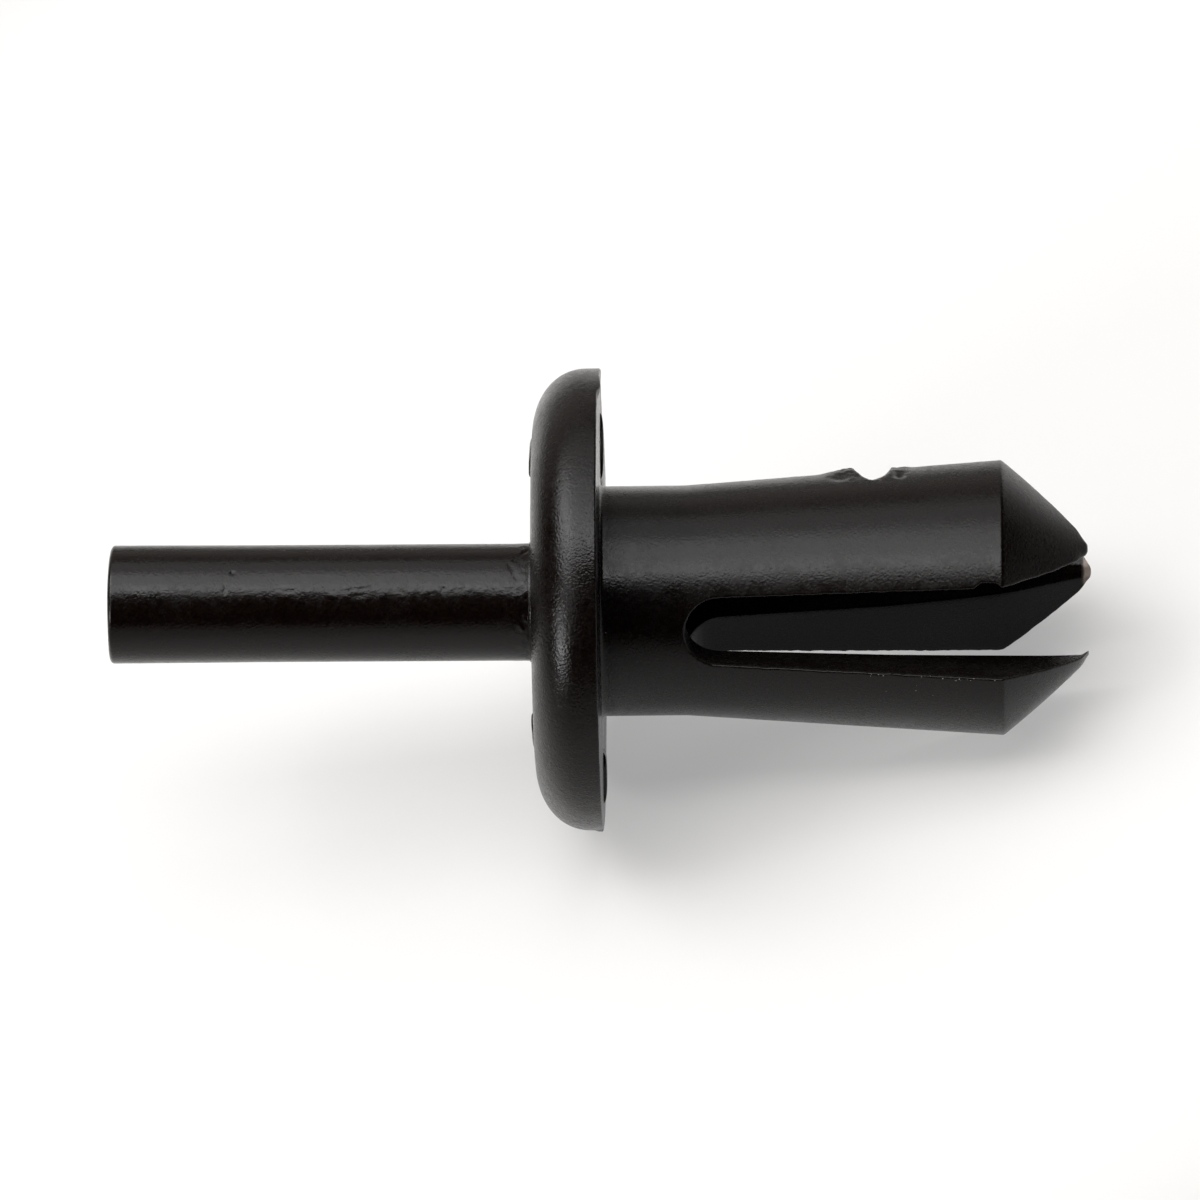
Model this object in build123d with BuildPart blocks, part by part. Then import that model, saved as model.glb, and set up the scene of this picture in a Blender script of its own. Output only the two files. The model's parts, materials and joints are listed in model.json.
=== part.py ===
"""Plastic push rivet: a flanged moulding with three flared legs, and the pin that is driven in to lock it.

The rivet lies as it comes to rest on a flat surface: on the rim of its head and on the two leg
corners beside the slot that faces down. The origin is the centre of the head's bearing face. Every
distance along the rivet's axis is counted from that face, and is positive towards the leg tips.
"""
import os
from math import asin, atan2, cos, degrees, hypot, radians, sin, sqrt, tan

from build123d import *

# Head: a flat bearing face, a short straight rim and an outer face that is rounded over to the rim
head_diameter = 12.0
rim_height = 0.3
rim_edge_radius = 0.12  # small round between the rim and the bearing face
head_round_height = 1.4  # the large round is a quarter of an ellipse: this high along the axis
head_round_width = 1.8  # and this wide
head_crown = 0.05  # rise of the outer face towards its middle

# Shank: a plain neck, legs that flare to a shoulder, and a nose that leads into the panel hole
neck_diameter = 5.95  # slips into a 6 mm hole
neck_fillet = 0.12
neck_length = 2.2
shoulder_diameter = 7.14
shoulder_distance = 10.42
nose_length = 2.2
nose_curve_radius = 28.0  # the nose bulges a little between the shoulder and the tips
tip_thickness = 0.06

# Slots between the legs: a round root and straight walls that open towards the tips
leg_count = 3
slot_root_distance = 2.2
slot_root_radius = 0.9
slot_mouth_width = 2.66

# Pin, and the bore that it is driven through: a close guide in the head, then a wider bore that
# narrows again along the ends of the legs
pin_diameter = 3.0
pin_clearance = 0.07  # gap all round between the pin and its guide
pin_length = 12.05
pin_start_depth = 1.0  # length of pin that is inside the head before it is driven
pin_end_radius = 0.1
pin_lead_in = 0.25
bore_diameter = 3.52
bore_start = 0.6
bore_taper_start = 7.5
tip_bore_diameter = 3.2

# Scar where the moulding gate was torn off, beside a slot on the uppermost leg
gate_distance = 7.03
gate_edge_gap = 0.28  # from the slot's edge to the middle of the scar, round the leg
gate_scoop_radius = 0.6
gate_scoop_depth = 0.24

# Sizes that follow from those above
head_radius = head_diameter / 2
head_thickness = rim_height + head_round_height
face_radius = head_radius - head_round_width
neck_radius = neck_diameter / 2
shoulder_radius = shoulder_diameter / 2
pin_radius = pin_diameter / 2
guide_radius = pin_radius + pin_clearance
bore_radius = bore_diameter / 2
tip_bore_radius = tip_bore_diameter / 2
tip_distance = shoulder_distance + nose_length
slot_pitch = 360 / leg_count

# The slot's walls are tangents to its round root that pass through the mouth's corners
root_centre = slot_root_distance + slot_root_radius
mouth_half_width = slot_mouth_width / 2
wall_reach = tip_distance - root_centre
mouth_slope = atan2(mouth_half_width, wall_reach)
wall_angle = mouth_slope - asin(slot_root_radius / hypot(mouth_half_width, wall_reach))

# The outer face is part of a large sphere that passes through the face's edge
crown_radius = (face_radius**2 + head_crown**2) / (2 * head_crown)


def slot_half_width(distance):
    """Half the slot's width at a distance beyond its round root."""
    return mouth_half_width - (tip_distance - distance) * tan(wall_angle)


def flare_radius(distance):
    """Outside radius of the legs at a distance between the neck and the shoulder."""
    share = (distance - neck_length) / (shoulder_distance - neck_length)
    return neck_radius + share * (shoulder_radius - neck_radius)


def face_height(radius):
    """Height of the outer face over the bearing face, at a radius inside the face's edge."""
    return head_thickness + head_crown - (crown_radius - sqrt(crown_radius**2 - radius**2))


# Rest pose: the rim's small round and two leg corners touch one flat surface
corner_radius = sqrt(shoulder_radius**2 - slot_half_width(shoulder_distance) ** 2)
rest_run = shoulder_distance + rim_edge_radius
rest_drop = head_radius - rim_edge_radius - corner_radius
rest_tilt = atan2(rest_drop, rest_run) + asin(rim_edge_radius / hypot(rest_drop, rest_run))

origin = Vector(0, 0, 0)
along = Vector(cos(rest_tilt), 0, -sin(rest_tilt))
upward = Vector(sin(rest_tilt), 0, cos(rest_tilt))
sideways = Vector(0, -1, 0)
rivet_axis = Axis(origin, along)
profile_plane = Plane(origin, x_dir=along, z_dir=sideways)  # x along the rivet, y its radius
bearing_plane = Plane(origin, x_dir=upward, z_dir=along)


def outward(angle):
    """Direction straight out of the rivet's side, turned about its axis from the uppermost leg."""
    return upward * cos(radians(angle)) + sideways * sin(radians(angle))


with BuildPart() as rivet_body:
    # Head, neck, flare, nose and bore are one turned shape
    with BuildSketch(profile_plane):
        with BuildLine():
            guide_mouth = (-face_height(guide_radius), guide_radius)
            face_middle_radius = (guide_radius + face_radius) / 2
            face_middle = (-face_height(face_middle_radius), face_middle_radius)
            ThreePointArc(guide_mouth, face_middle, (-head_thickness, face_radius))
            round_centre = (-rim_height, face_radius)
            EllipticalCenterArc(round_centre, head_round_height, head_round_width, 90, arc_size=90)
            Line((-rim_height, head_radius), (-rim_edge_radius, head_radius))
            CenterArc((-rim_edge_radius, head_radius - rim_edge_radius), rim_edge_radius, 90, -90)
            Line((0, head_radius - rim_edge_radius), (0, neck_radius + neck_fillet))
            CenterArc((neck_fillet, neck_radius + neck_fillet), neck_fillet, 180, 90)
            shoulder = (shoulder_distance, shoulder_radius)
            Polyline((neck_fillet, neck_radius), (neck_length, neck_radius), shoulder)
            tip_outer = (tip_distance, tip_bore_radius + tip_thickness)
            RadiusArc(shoulder, tip_outer, nose_curve_radius)
            Polyline(
                tip_outer,
                (tip_distance, tip_bore_radius),
                (bore_taper_start, bore_radius),
                (bore_start, bore_radius),
                (0, guide_radius),
                guide_mouth,
            )
        make_face()
    revolve(axis=rivet_axis)

    # The slots part the shank into legs; each cuts one side only, from the bore outwards
    for slot in range(leg_count):
        slot_direction = outward((slot + 0.5) * slot_pitch)
        with BuildSketch(Plane(origin, x_dir=along, z_dir=slot_direction)):
            with BuildLine():
                root_end = root_centre - slot_root_radius * sin(wall_angle)
                root_width = slot_root_radius * cos(wall_angle)
                corners = [
                    (root_end, root_width),
                    (tip_distance, mouth_half_width),
                    (tip_distance, -mouth_half_width),
                    (root_end, -root_width),
                ]
                Polyline(*corners)
                ThreePointArc(corners[-1], (slot_root_distance, 0), corners[0])
            make_face()
        extrude(amount=head_radius, mode=Mode.SUBTRACT)

    # Gate scar: a shallow scoop beside the slot
    gate_surface = flare_radius(gate_distance)
    slot_edge_angle = slot_pitch / 2 - degrees(asin(slot_half_width(gate_distance) / gate_surface))
    gate_angle = degrees(gate_edge_gap / gate_surface) - slot_edge_angle
    gate_centre_radius = gate_surface + gate_scoop_radius - gate_scoop_depth
    with Locations(along * gate_distance + outward(gate_angle) * gate_centre_radius):
        Sphere(gate_scoop_radius, mode=Mode.SUBTRACT)

# Driven home, the pin's outer end is flush with the head
pin_travel = pin_length - pin_start_depth

with BuildPart() as drive_pin:
    with BuildSketch(bearing_plane.offset(-face_height(guide_radius) - pin_travel)):
        Circle(pin_radius)
    extrude(amount=pin_length)
    end_edges = drive_pin.edges().filter_by(GeomType.CIRCLE).sort_by(rivet_axis)
    fillet(end_edges[0], pin_end_radius)
    chamfer(end_edges[-1], pin_lead_in)

rivet_body.part.label = "rivet_body"
drive_pin.part.label = "drive_pin"

os.makedirs("parts", exist_ok=True)
export_step(rivet_body.part, "parts/rivet_body.step")
export_step(drive_pin.part, "parts/drive_pin.step")

print(f"rest tilt {degrees(rest_tilt):.3f} degrees, axis {tuple(along)}")
print(f"pin travel {pin_travel:.3f} mm, head height at the pin {face_height(guide_radius):.3f} mm")
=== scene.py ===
"""Looks of the plastic push rivet: detailed meshes for the moulding and its pin, finish, light and camera.

The rivet's lengths are millimetres in its own frame until a mesh is made: `s` is the distance along
its axis from the head's bearing face, positive towards the leg tips, `r` is the radius from that
axis, and `phi` is the angle round it from the uppermost leg. Points are (s, up, sideways), of which
up is towards the uppermost leg. Camera, lights and floor are in metres.
"""
import json
import math

import bmesh
import bpy
import numpy as np
from mathutils import Matrix, Vector, noise


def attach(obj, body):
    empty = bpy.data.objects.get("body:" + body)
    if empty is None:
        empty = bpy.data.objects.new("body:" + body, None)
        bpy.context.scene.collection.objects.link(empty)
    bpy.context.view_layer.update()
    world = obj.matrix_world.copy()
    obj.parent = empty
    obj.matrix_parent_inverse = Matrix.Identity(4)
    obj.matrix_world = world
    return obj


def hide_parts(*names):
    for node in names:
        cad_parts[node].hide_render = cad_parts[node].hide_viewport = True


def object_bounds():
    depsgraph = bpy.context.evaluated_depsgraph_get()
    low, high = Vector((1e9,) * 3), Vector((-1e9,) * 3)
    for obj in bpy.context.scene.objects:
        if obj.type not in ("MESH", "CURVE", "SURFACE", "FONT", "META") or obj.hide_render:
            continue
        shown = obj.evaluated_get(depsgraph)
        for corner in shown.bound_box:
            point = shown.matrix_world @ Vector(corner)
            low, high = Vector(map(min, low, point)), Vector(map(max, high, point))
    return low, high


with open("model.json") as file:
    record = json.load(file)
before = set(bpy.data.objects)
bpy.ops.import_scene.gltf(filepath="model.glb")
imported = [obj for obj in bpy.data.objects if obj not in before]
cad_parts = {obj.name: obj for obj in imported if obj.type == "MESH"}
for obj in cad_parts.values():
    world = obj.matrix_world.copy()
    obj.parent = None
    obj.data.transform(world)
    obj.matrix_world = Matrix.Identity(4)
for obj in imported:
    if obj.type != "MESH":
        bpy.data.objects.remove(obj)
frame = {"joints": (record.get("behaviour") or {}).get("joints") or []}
cad_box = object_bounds()

MM = 0.001
MERGE_DISTANCE = 0.0001 * MM

# ---------------------------------------------------------------- sizes, at most 0.07 mm off the solids' own
HEAD_RADIUS = 6.0
RIM_HEIGHT = 0.3
RIM_EDGE_RADIUS = 0.05
HEAD_ROUND_HEIGHT = 1.44
HEAD_ROUND_WIDTH = 1.8
HEAD_ROUND_POWER = 2.14  # 2 for an ellipse; a little more for a fuller round
HEAD_CROWN = 0.05
NECK_RADIUS = 2.985
NECK_FILLET = 0.12
NECK_LENGTH = 2.2
SHOULDER_RADIUS = 3.585
SHOULDER_DISTANCE = 10.42
SHOULDER_ROUND = 0.03
NOSE_LENGTH = 2.2
NOSE_CURVE_RADIUS = 28.0
TIP_THICKNESS = 0.045
SLOT_ROOT_DISTANCE = 2.2
SLOT_ROOT_RADIUS = 0.9
SLOT_MOUTH_WIDTH = 2.66
PIN_RADIUS = 1.52
GUIDE_RADIUS = 1.59
BORE_RADIUS = 1.79
BORE_START = 0.6
BORE_TAPER_START = 7.5
TIP_BORE_RADIUS = 1.615
PIN_LENGTH = 12.05
PIN_START_DEPTH = 1.0
PIN_LEAD_IN = 0.25

HEAD_THICKNESS = RIM_HEIGHT + HEAD_ROUND_HEIGHT
FACE_RADIUS = HEAD_RADIUS - HEAD_ROUND_WIDTH
CROWN_RADIUS = (FACE_RADIUS**2 + HEAD_CROWN**2) / (2 * HEAD_CROWN)
TIP_DISTANCE = SHOULDER_DISTANCE + NOSE_LENGTH
TIP_RADIUS = TIP_BORE_RADIUS + TIP_THICKNESS
ROOT_CENTRE = SLOT_ROOT_DISTANCE + SLOT_ROOT_RADIUS
MOUTH_HALF_WIDTH = SLOT_MOUTH_WIDTH / 2
WALL_REACH = TIP_DISTANCE - ROOT_CENTRE
WALL_ANGLE = math.atan2(MOUTH_HALF_WIDTH, WALL_REACH) - math.asin(
    SLOT_ROOT_RADIUS / math.hypot(MOUTH_HALF_WIDTH, WALL_REACH)
)
ROOT_END = ROOT_CENTRE - SLOT_ROOT_RADIUS * math.sin(WALL_ANGLE)

# ---------------------------------------------------------------- directions
AXIS = Vector(frame["joints"][0]["axis"]).normalized()
UPWARD = Vector((-AXIS.z, 0, AXIS.x))
SIDEWAYS = Vector((0, -1, 0))
TO_WORLD = np.array([AXIS, UPWARD, SIDEWAYS]) * MM
FLOOR_Z = cad_box[0][2]

HALF_PITCH = math.radians(60)  # from the middle of a leg to the middle of a slot
SLOT_ANGLES = [math.radians(degrees) for degrees in (60, 180, 300)]
TOP_LEG, LOWER_LEG, REAR_LEG = 0, math.radians(120), math.radians(240)
GATE_ANGLE = math.radians(-46.5)  # the cut where the gate was torn off faces this way round the rivet


# ---------------------------------------------------------------- forms
def face_height(r):
    """Height of the head's crowned outer face over its bearing face."""
    return HEAD_THICKNESS + HEAD_CROWN - (CROWN_RADIUS - np.sqrt(CROWN_RADIUS**2 - r**2))


def smooth_min(a, b, width):
    """The smaller of two values, with the corner between them rounded over a width."""
    h = np.clip(0.5 + 0.5 * (b - a) / width, 0, 1)
    return b + (a - b) * h - width * h * (1 - h)


def nose_radius(s):
    """Radius of the nose's slightly bulging arc, extended both ways."""
    chord = Vector((NOSE_LENGTH, TIP_RADIUS - SHOULDER_RADIUS))
    middle = Vector((SHOULDER_DISTANCE, SHOULDER_RADIUS)) + chord / 2
    inward = Vector((chord.y, -chord.x)).normalized()
    centre = middle + inward * math.sqrt(NOSE_CURVE_RADIUS**2 - chord.length_squared / 4)
    return centre.y + np.sqrt(NOSE_CURVE_RADIUS**2 - (s - centre.x) ** 2)


def outer_radius(s):
    """Outside radius of the neck, the flared legs and the nose."""
    flare = (SHOULDER_RADIUS - NECK_RADIUS) / (SHOULDER_DISTANCE - NECK_LENGTH)
    legs = NECK_RADIUS + np.maximum(s - NECK_LENGTH, 0) * flare
    return smooth_min(legs, nose_radius(s), SHOULDER_ROUND)


def bore_radius(s):
    """Radius of the hole: the close guide in the head, the wider bore and its taper to the tips."""
    return np.interp(
        s,
        [0, BORE_START, BORE_TAPER_START, TIP_DISTANCE],
        [GUIDE_RADIUS, BORE_RADIUS, BORE_RADIUS, TIP_BORE_RADIUS],
    )


def slot_half_width(s):
    """Half the slot's width beyond its round root."""
    return MOUTH_HALF_WIDTH - (TIP_DISTANCE - s) * math.tan(WALL_ANGLE)


NOISE_STEPS = (17.3, 5.1, 9.7)  # in the noise from one seed to the next, in sizes of its bumps


def perlin(points, size, seed):
    """Smooth noise from about -1 to 1 at each point, with bumps about `size` mm across."""
    offset = Vector([seed * step for step in NOISE_STEPS])
    return np.array([noise.noise(Vector(p) / size + offset) for p in points])


def uneven(points, layers, seed):
    """Sum of noises given as (height, size of the bumps), each with the next seed."""
    return sum(height * perlin(points, size, seed + i) for i, (height, size) in enumerate(layers))


def ramp(x, low, high):
    """Smooth rise from 0 at one value to 1 at another."""
    t = np.clip((x - low) / (high - low), 0, 1)
    return t * t * (3 - 2 * t)


def plateau(x, low, start, end, high):
    """Level 1 from start to end, with a smooth rise from low and a smooth fall to high."""
    return ramp(x, low, start) * (1 - ramp(x, end, high))


def hump(x, middle, reach):
    """Bell of height 1 round a value."""
    return np.exp(-(((x - middle) / reach) ** 2))


def after(first, last, steps):
    """Evenly spaced values up to the last, with the first left out."""
    return np.linspace(first, last, steps + 1)[1:]


def between(first, last, share):
    """Grid of values that lie at shares of the way from each first value to its last one."""
    return first[:, None] + share * (last - first)[:, None]


def full_turn(steps):
    """Angles once round the axis, whose last one is the first one again."""
    turns = np.linspace(0, 2 * math.pi, steps + 1)
    turns[-1] = 0
    return turns


def polar(points):
    """Distance along the axis, radius and angle round the axis, of each point."""
    s, up, across = points.T
    return s, np.hypot(up, across), np.arctan2(across, up)


def angle_from(phi, direction):
    """Angle from a direction round the rivet, between half a turn back and half a turn on."""
    return (phi - direction + math.pi) % (2 * math.pi) - math.pi


def cylindrical(s, r, phi):
    """Points at distances along the axis, radii and angles round the axis."""
    s, r, phi = np.broadcast_arrays(s, r, phi)
    return np.stack([s, r * np.cos(phi), r * np.sin(phi)], -1)


def distance_out(points, angle):
    """How far each point lies from the axis towards an angle round it."""
    return points[:, 1] * math.cos(angle) + points[:, 2] * math.sin(angle)


def moved_out(points, angle, amount):
    """The points moved out of the rivet's side, towards an angle round it."""
    return points + cylindrical(0, amount, angle)


# ---------------------------------------------------------------- mesh of the moulding
RING_START = 1.2  # where the rings of the head end and the sectors round the slots begin
RING_STEPS = 40  # mesh steps from a slot's middle to the middle of a leg
MIDLINE_STEPS = 18
OUTER_STEPS = 32
EDGE_STEPS = 5
WALL_STEPS = 12
INNER_EDGE_STEPS = 3
INNER_STEPS = 8
SLOT_COLUMNS = OUTER_STEPS + EDGE_STEPS + WALL_STEPS + INNER_EDGE_STEPS + INNER_STEPS + 1
ROW_GAP = 0.1
FINE_ROWS = [(12.3, 12.7, 0.05), (10.2, 10.65, 0.035), (6.2, 8.0, 0.045)]  # from, to and gap
COLUMN_CROWDING = 1.4  # above 1 to crowd the outer columns towards the slot's edge
EDGE_SOFTNESS = 0.07
INNER_EDGE_SOFTNESS = 0.05
SOFT_SHARE = 0.3  # a soft edge takes at most this share of the faces beside it

# unevenness of the slots' edges, as (height, size of the bumps)
EDGE_WANDER = [(0.012, 0.35), (0.014, 0.13)]  # along the slot's wall
EDGE_LIP = [(0.012, 0.25), (0.016, 0.12)]  # out from the surface
EDGE_FADE_ROWS = 10  # it fades out over these last rows before the middle of the slot's root
SIDE_STEP = 3.0  # in the noise from one side of a slot to the next

CHIPPED_SIDE = 0  # the uppermost leg's edge at the slot that faces the camera
CHIP_DEPTH = 0.13
CHIP_RUN = (9.72, 9.84, 10.2, 10.45)  # where it starts, is at its deepest, and ends


def leg_stations():
    """Distances of the mesh's rows along a leg, closer where there is more to show."""
    stations = [TIP_DISTANCE]
    while stations[-1] > ROOT_END + ROW_GAP:
        here = stations[-1]
        step = min([gap for low, high, gap in FINE_ROWS if low < here <= high] or [ROW_GAP])
        stations.append(here - step)
    stations[-1] = ROOT_END
    return np.array(stations)


def slot_rows():
    """Rows along one side of a slot, from the tips to the root's middle.

    Gives the edge point (s, p), the direction into the plastic there, and the row's far end on the
    leg's middle line or on the first ring (s, psi). `p` runs across the slot and `psi` is the angle
    round the rivet from the slot's middle.
    """
    s = leg_stations()
    straight = len(s)
    turn = after(WALL_ANGLE, math.pi / 2, MIDLINE_STEPS + RING_STEPS)
    edge_s = np.concatenate([s, ROOT_CENTRE - SLOT_ROOT_RADIUS * np.sin(turn)])
    edge_p = np.concatenate([slot_half_width(s), SLOT_ROOT_RADIUS * np.cos(turn)])
    edge_p[-1] = 0.0
    into_s = np.concatenate([np.full(straight, -math.sin(WALL_ANGLE)), -np.sin(turn)])
    into_p = np.concatenate([np.full(straight, math.cos(WALL_ANGLE)), np.cos(turn)])
    midline = after(ROOT_END, RING_START, MIDLINE_STEPS)
    far_s = np.concatenate([s, midline, np.full(RING_STEPS, RING_START)])
    ring = after(HALF_PITCH, 0, RING_STEPS)
    far_psi = np.concatenate([np.full(straight + MIDLINE_STEPS, HALF_PITCH), ring])
    return edge_s, edge_p, into_s, into_p, far_s, far_psi


def on_surface(s, psi, radius):
    """(s, p, q) of a point at an angle round the rivet, where q runs out along the slot's middle."""
    r = radius(s)
    return np.stack([s, r * np.sin(psi), r * np.cos(psi)], -1)


def rounded(before, corner, beyond, steps):
    """Points of a small round between two points beside a corner, the first of them left out."""
    t = after(0, 1, steps).reshape(1, -1, 1)
    a, b, c = before[:, None], corner[:, None], beyond[:, None]
    return (1 - t) ** 2 * a + 2 * t * (1 - t) * b + t**2 * c


def slot_side(number):
    """Grid of points (rows, columns, 3) on one of the slots' six sides.

    The columns run from the leg's middle over its outside, round the slot's edge, down the slot's
    wall and back along the bore.
    """
    edge_s, edge_p, into_s, into_p, far_s, far_psi = slot_rows()
    along = np.stack([edge_s, np.zeros_like(edge_s), np.full_like(edge_s, number * SIDE_STEP)], -1)
    fade = np.clip((len(edge_s) - 1 - np.arange(len(edge_s))) / EDGE_FADE_ROWS, 0, 1)
    wander = uneven(along, EDGE_WANDER, number) * fade
    if number == CHIPPED_SIDE:
        wander += CHIP_DEPTH * plateau(edge_s, *CHIP_RUN)
    lip = uneven(along, EDGE_LIP, number + len(EDGE_WANDER)) * fade
    rim_s = edge_s + into_s * wander
    rim_p = np.maximum(edge_p + into_p * wander, 0)
    rim_psi = np.arcsin(rim_p / outer_radius(rim_s))
    corner = on_surface(rim_s, rim_psi, outer_radius)
    corner[:, 2] += lip
    inner_psi = np.arcsin(edge_p / bore_radius(edge_s))
    inner_corner = on_surface(edge_s, inner_psi, bore_radius)
    wall = inner_corner - corner
    wall_length = np.linalg.norm(wall, axis=1)
    soft = np.minimum(EDGE_SOFTNESS, wall_length * SOFT_SHARE)
    inner_soft = np.minimum(INNER_EDGE_SOFTNESS, wall_length * SOFT_SHARE)

    outer_run = np.hypot(far_s - rim_s, (far_psi - rim_psi) * outer_radius(rim_s))
    outer_end = 1 - np.minimum(soft / outer_run, SOFT_SHARE)
    crowded = 1 - (1 - np.linspace(0, 1, OUTER_STEPS + 1)) ** COLUMN_CROWDING
    t = outer_end[:, None] * crowded
    outer = on_surface(between(far_s, rim_s, t), between(far_psi, rim_psi, t), outer_radius)
    wall_top = corner + wall * (soft / wall_length)[:, None]
    edge = rounded(outer[:, -1], corner, wall_top, EDGE_STEPS)

    wall_foot = inner_corner - wall * (inner_soft / wall_length)[:, None]
    face = between(wall_top, wall_foot, after(0, 1, WALL_STEPS).reshape(1, -1, 1))

    inner_run = np.hypot(far_s - edge_s, (far_psi - inner_psi) * bore_radius(edge_s))
    inner_start = np.minimum(inner_soft / inner_run, SOFT_SHARE)
    t = inner_start[:, None] + (1 - inner_start)[:, None] * np.linspace(0, 1, INNER_STEPS + 1)
    inner = on_surface(between(edge_s, far_s, t), between(inner_psi, far_psi, t), bore_radius)
    inner_edge = rounded(wall_foot, inner_corner, inner[:, 0], INNER_EDGE_STEPS)
    return np.concatenate([outer, edge, face, inner_edge, inner[:, 1:]], axis=1)


def grid_faces(rows, columns, start, flip):
    """Quads of a grid whose points are numbered row by row from `start`."""
    i, j = np.meshgrid(np.arange(rows - 1), np.arange(columns - 1), indexing="ij")
    a = (start + i * columns + j).ravel()
    quads = np.stack([a, a + 1, a + columns + 1, a + columns], -1)
    return (quads[:, ::-1] if flip else quads).tolist()


def turned(points, angle, side):
    """Slot points (s, p, q) as (s, up, sideways), for a slot at an angle and one of its two sides."""
    s, p, q = points[..., 0], points[..., 1] * side, points[..., 2]
    up = q * math.cos(angle) - p * math.sin(angle)
    across = q * math.sin(angle) + p * math.cos(angle)
    return np.stack([s, up, across], -1)


def lathe(profile, turns):
    """Grid (profile points, turns, 3) of a path (s, r) turned round the axis."""
    return cylindrical(profile[:, :1], profile[:, 1:], turns)


NECK_STEPS = 11
SMALL_ROUND_STEPS = 6
BEARING_FACE_STEPS = 25
RIM_STEPS = 3
HEAD_ROUND_STEPS = 32
OUTER_FACE_STEPS = 21
MOUTH_ROUND = 0.05  # where the guide opens in the outer face
MOUTH_ROUND_MIDDLE = 0.015  # from the corner that it takes off, in both directions
GUIDE_STEPS = 7
BORE_STEPS = 9


def head_profile():
    """Path (s, r) of the head's rings, from the neck out round the head and back down the bore."""
    points = [(s, NECK_RADIUS) for s in np.linspace(RING_START, NECK_FILLET, NECK_STEPS + 1)]
    for angle in np.radians(after(0, 90, SMALL_ROUND_STEPS)):
        r = NECK_RADIUS + NECK_FILLET * (1 - math.cos(angle))
        points.append((NECK_FILLET * (1 - math.sin(angle)), r))
    points += [(0, r) for r in after(r, HEAD_RADIUS - RIM_EDGE_RADIUS, BEARING_FACE_STEPS)]
    for angle in np.radians(after(0, 90, SMALL_ROUND_STEPS)):
        r = HEAD_RADIUS - RIM_EDGE_RADIUS * (1 - math.sin(angle))
        points.append((-RIM_EDGE_RADIUS * (1 - math.cos(angle)), r))
    points += [(s, HEAD_RADIUS) for s in after(-RIM_EDGE_RADIUS, -RIM_HEIGHT, RIM_STEPS)]
    for angle in np.radians(after(0, 90, HEAD_ROUND_STEPS)):
        outwards = math.cos(angle) ** (2 / HEAD_ROUND_POWER)
        upwards = math.sin(angle) ** (2 / HEAD_ROUND_POWER)
        points.append((-RIM_HEIGHT - HEAD_ROUND_HEIGHT * upwards, FACE_RADIUS + HEAD_ROUND_WIDTH * outwards))
    face_end = GUIDE_RADIUS + MOUTH_ROUND
    points += [(-face_height(r), r) for r in after(FACE_RADIUS, face_end, OUTER_FACE_STEPS)]
    mouth = -face_height(GUIDE_RADIUS)
    points.append((mouth + MOUTH_ROUND_MIDDLE, GUIDE_RADIUS + MOUTH_ROUND_MIDDLE))
    points += [(s, GUIDE_RADIUS) for s in np.linspace(mouth + MOUTH_ROUND, 0, GUIDE_STEPS + 1)]
    points += [(s, bore_radius(s)) for s in after(0, RING_START, BORE_STEPS)]
    return np.array(points)


def new_object(name, data):
    """A new object of the scene."""
    thing = bpy.data.objects.new(name, data)
    bpy.context.scene.collection.objects.link(thing)
    return thing


def mesh_object(name, points, faces, material, pale_and_painted_light=None):
    """A smooth-shaded object from points in mm, with points that lie together made one.

    The last argument says for each point, from 0 to 1, how far its colour goes towards a pale colour: paler
    plastic in the gate's torn cut, painted light at the thin ends of the tips, and pale crumbs that stand
    partly for painted glints.
    """
    mesh = bpy.data.meshes.new(name)
    mesh.from_pydata((points @ TO_WORLD).tolist(), [], faces)
    if pale_and_painted_light is not None:
        mesh.attributes.new("pale_and_painted_light", "FLOAT", "POINT").data.foreach_set("value", pale_and_painted_light.astype(np.float32))
    mesh_edit = bmesh.new()
    mesh_edit.from_mesh(mesh)
    bmesh.ops.remove_doubles(mesh_edit, verts=mesh_edit.verts, dist=MERGE_DISTANCE)
    mesh_edit.to_mesh(mesh)
    mesh_edit.free()
    mesh.shade_smooth()
    mesh.materials.append(material)
    mesh.validate()
    return new_object(name, mesh)


# ---------------------------------------------------------------- gate scar, legs and rim as they are
GATE_DISTANCE = 7.07
GATE_FLOOR = 3.06  # from the axis to the bottom of the cut
GATE_RISE = 0.97  # the cut's walls rise by this times the distance to the power below
GATE_POWER = 1.6
GATE_REACH = 1.7  # nothing farther from the cut's middle along the leg is changed
GATE_INNERMOST = 2.5  # and nothing nearer to the axis
GATE_LOWEST = 2.6  # the least distance from the axis that the cut can reach
GATE_HOLLOW_DEPTH = 0.045
GATE_HOLLOW = (0.33, 0.14)  # place and reach along the cut
GATE_ROUGHNESS = [(0.020, 0.19), (0.012, 0.08)]  # height and size of the bumps
GATE_SEED = 4
# burrs beside the cut, as (height, extent along the leg, middle and reach round it from the slot's edge)
GATE_BURRS = [
    (0.105, (-1.5, -0.62, -0.3, 0.1), (0.0, 0.55)),
    (0.03, (0.1, 0.4, 0.75, 1.1), (0.1, 0.4)),
]
# pits, as (depth, middle and reach along the leg, middle and reach round it); the last one is a bump
GATE_PITS = [
    (0.05, (-0.82, 0.2), (0.72, 0.24)),
    (0.11, (0.72, 0.13), (0.80, 0.17)),
    (-0.03, (0.50, 0.10), (0.62, 0.3)),
]
TORN_SKIN = 1.3  # how many times rougher the torn skin beside the cut is than the cut itself
TORN_ALONG = (-1.3, -0.7, 0.8, 1.1)
TORN_ROUND = (0.3, 0.9)
SKIN_DEPTH = 0.25  # burrs and pits fade out over this depth under the skin


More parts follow.
